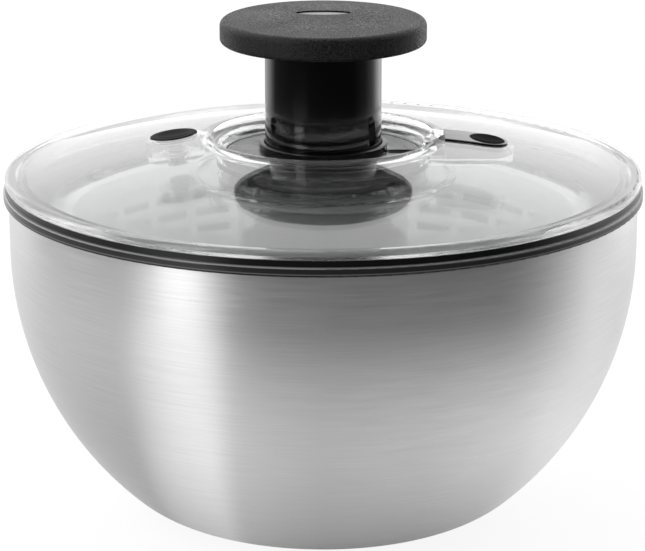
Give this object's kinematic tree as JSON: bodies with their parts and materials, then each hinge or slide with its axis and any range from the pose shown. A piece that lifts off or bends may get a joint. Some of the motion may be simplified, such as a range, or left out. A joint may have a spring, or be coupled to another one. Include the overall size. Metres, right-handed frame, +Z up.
{
  "type": "salad spinner",
  "caption": "Salad spinner with a steel bowl, slotted basket and clear domed lid; a push-down knob on a sprung plunger spins the basket, with a brake button and a knob lock.",
  "frame": {"origin": "centre of the foot ring, on the surface that the spinner stands on", "axes": "+Z up along the spin axis, +X from the axis towards the knob lock, -Y towards the front"},
  "size_m": [0.264, 0.264, 0.2092],
  "materials": {
    "steel": "fine brushed around the axis",
    "foot_rubber": "matt",
    "basket_plastic": "satin",
    "clear_plastic": "clear polished",
    "gasket_rubber": "satin",
    "black_gloss": "polished",
    "soft_black": "soft matt",
    "black_plastic": "satin",
    "white_acetal": "satin",
    "grey_plastic": "satin gloss",
    "hub_plastic": "satin gloss",
    "badge_metal": "satin",
    "screw_steel": "bright",
    "spring_steel": "drawn wire",
    "pad_rubber": "matt"
  },
  "bodies": {
    "bowl": {"bowl": "steel", "foot_ring": "foot_rubber"},
    "basket": {"basket": "basket_plastic"},
    "lid": {"lid_cover": "clear_plastic", "rim_gasket": "gasket_rubber", "well_floor": "black_gloss", "guide_tube": "white_acetal", "support_ring": "spring_steel"},
    "turntable": {"turntable": "clear_plastic", "drive_cup": "hub_plastic", "clutch_race": "spring_steel", "cup_screws": "screw_steel"},
    "spindle": {"twist_spindle": "white_acetal", "spring_cap": "white_acetal", "clutch_cam": "white_acetal", "clutch_rollers": "spring_steel", "thrust_washer": "white_acetal", "spindle_clip": "spring_steel"},
    "plunger": {"knob_cap": "soft_black", "knob_badge": "badge_metal", "knob_core": "black_plastic", "knob_screws": "screw_steel", "plunger_sleeve": "black_gloss", "plunger_stem": "white_acetal", "drive_nut": "white_acetal", "return_spring": "spring_steel"},
    "brake": {"brake_button": "soft_black", "brake_stem": "black_plastic", "brake_clip": "spring_steel", "brake_pad": "pad_rubber", "brake_spring": "spring_steel"},
    "lock": {"lock_slider": "grey_plastic", "lock_thumb": "black_gloss", "lock_bolt": "black_plastic"}
  },
  "joints": [
    {"name": "lid_lift", "type": "slide", "parent": "bowl", "child": "lid", "axis": [0, 0, 1], "range_m": [0, 0.16]},
    {"name": "basket_spin", "type": "hinge", "parent": "bowl", "child": "basket", "pos_m": [0, 0, 0.0114], "axis": [0, 0, 1], "continuous": true},
    {"name": "table_spin", "type": "hinge", "parent": "lid", "child": "turntable", "pos_m": [0, 0, 0.13786], "axis": [0, 0, 1], "continuous": true},
    {"name": "plunger_pump", "type": "slide", "parent": "lid", "child": "plunger", "axis": [0, 0, -1], "range_m": [0, 0.042], "stiffness_N_per_m": 120, "springref_m": -0.03, "deforming": ["return_spring"]},
    {"name": "spindle_turn", "type": "hinge", "parent": "lid", "child": "spindle", "pos_m": [0, 0, 0.09325], "axis": [0, 0, 1], "range_deg": [-1, 474]},
    {"name": "brake_press", "type": "slide", "parent": "lid", "child": "brake", "axis": [0.1315, -0.0171, -0.9912], "range_m": [0, 0.0028], "stiffness_N_per_m": 300, "springref_m": -0.002, "deforming": ["brake_spring"]},
    {"name": "lock_slide", "type": "slide", "parent": "lid", "child": "lock", "axis": [-1, 0, 0], "range_m": [0, 0.0045]}
  ],
  "couplings": [
    {"joint": "table_spin", "follows": "basket_spin", "ratio": 1},
    {"joint": "spindle_turn", "follows": "plunger_pump", "rad_per_m": 196.35}
  ]
}
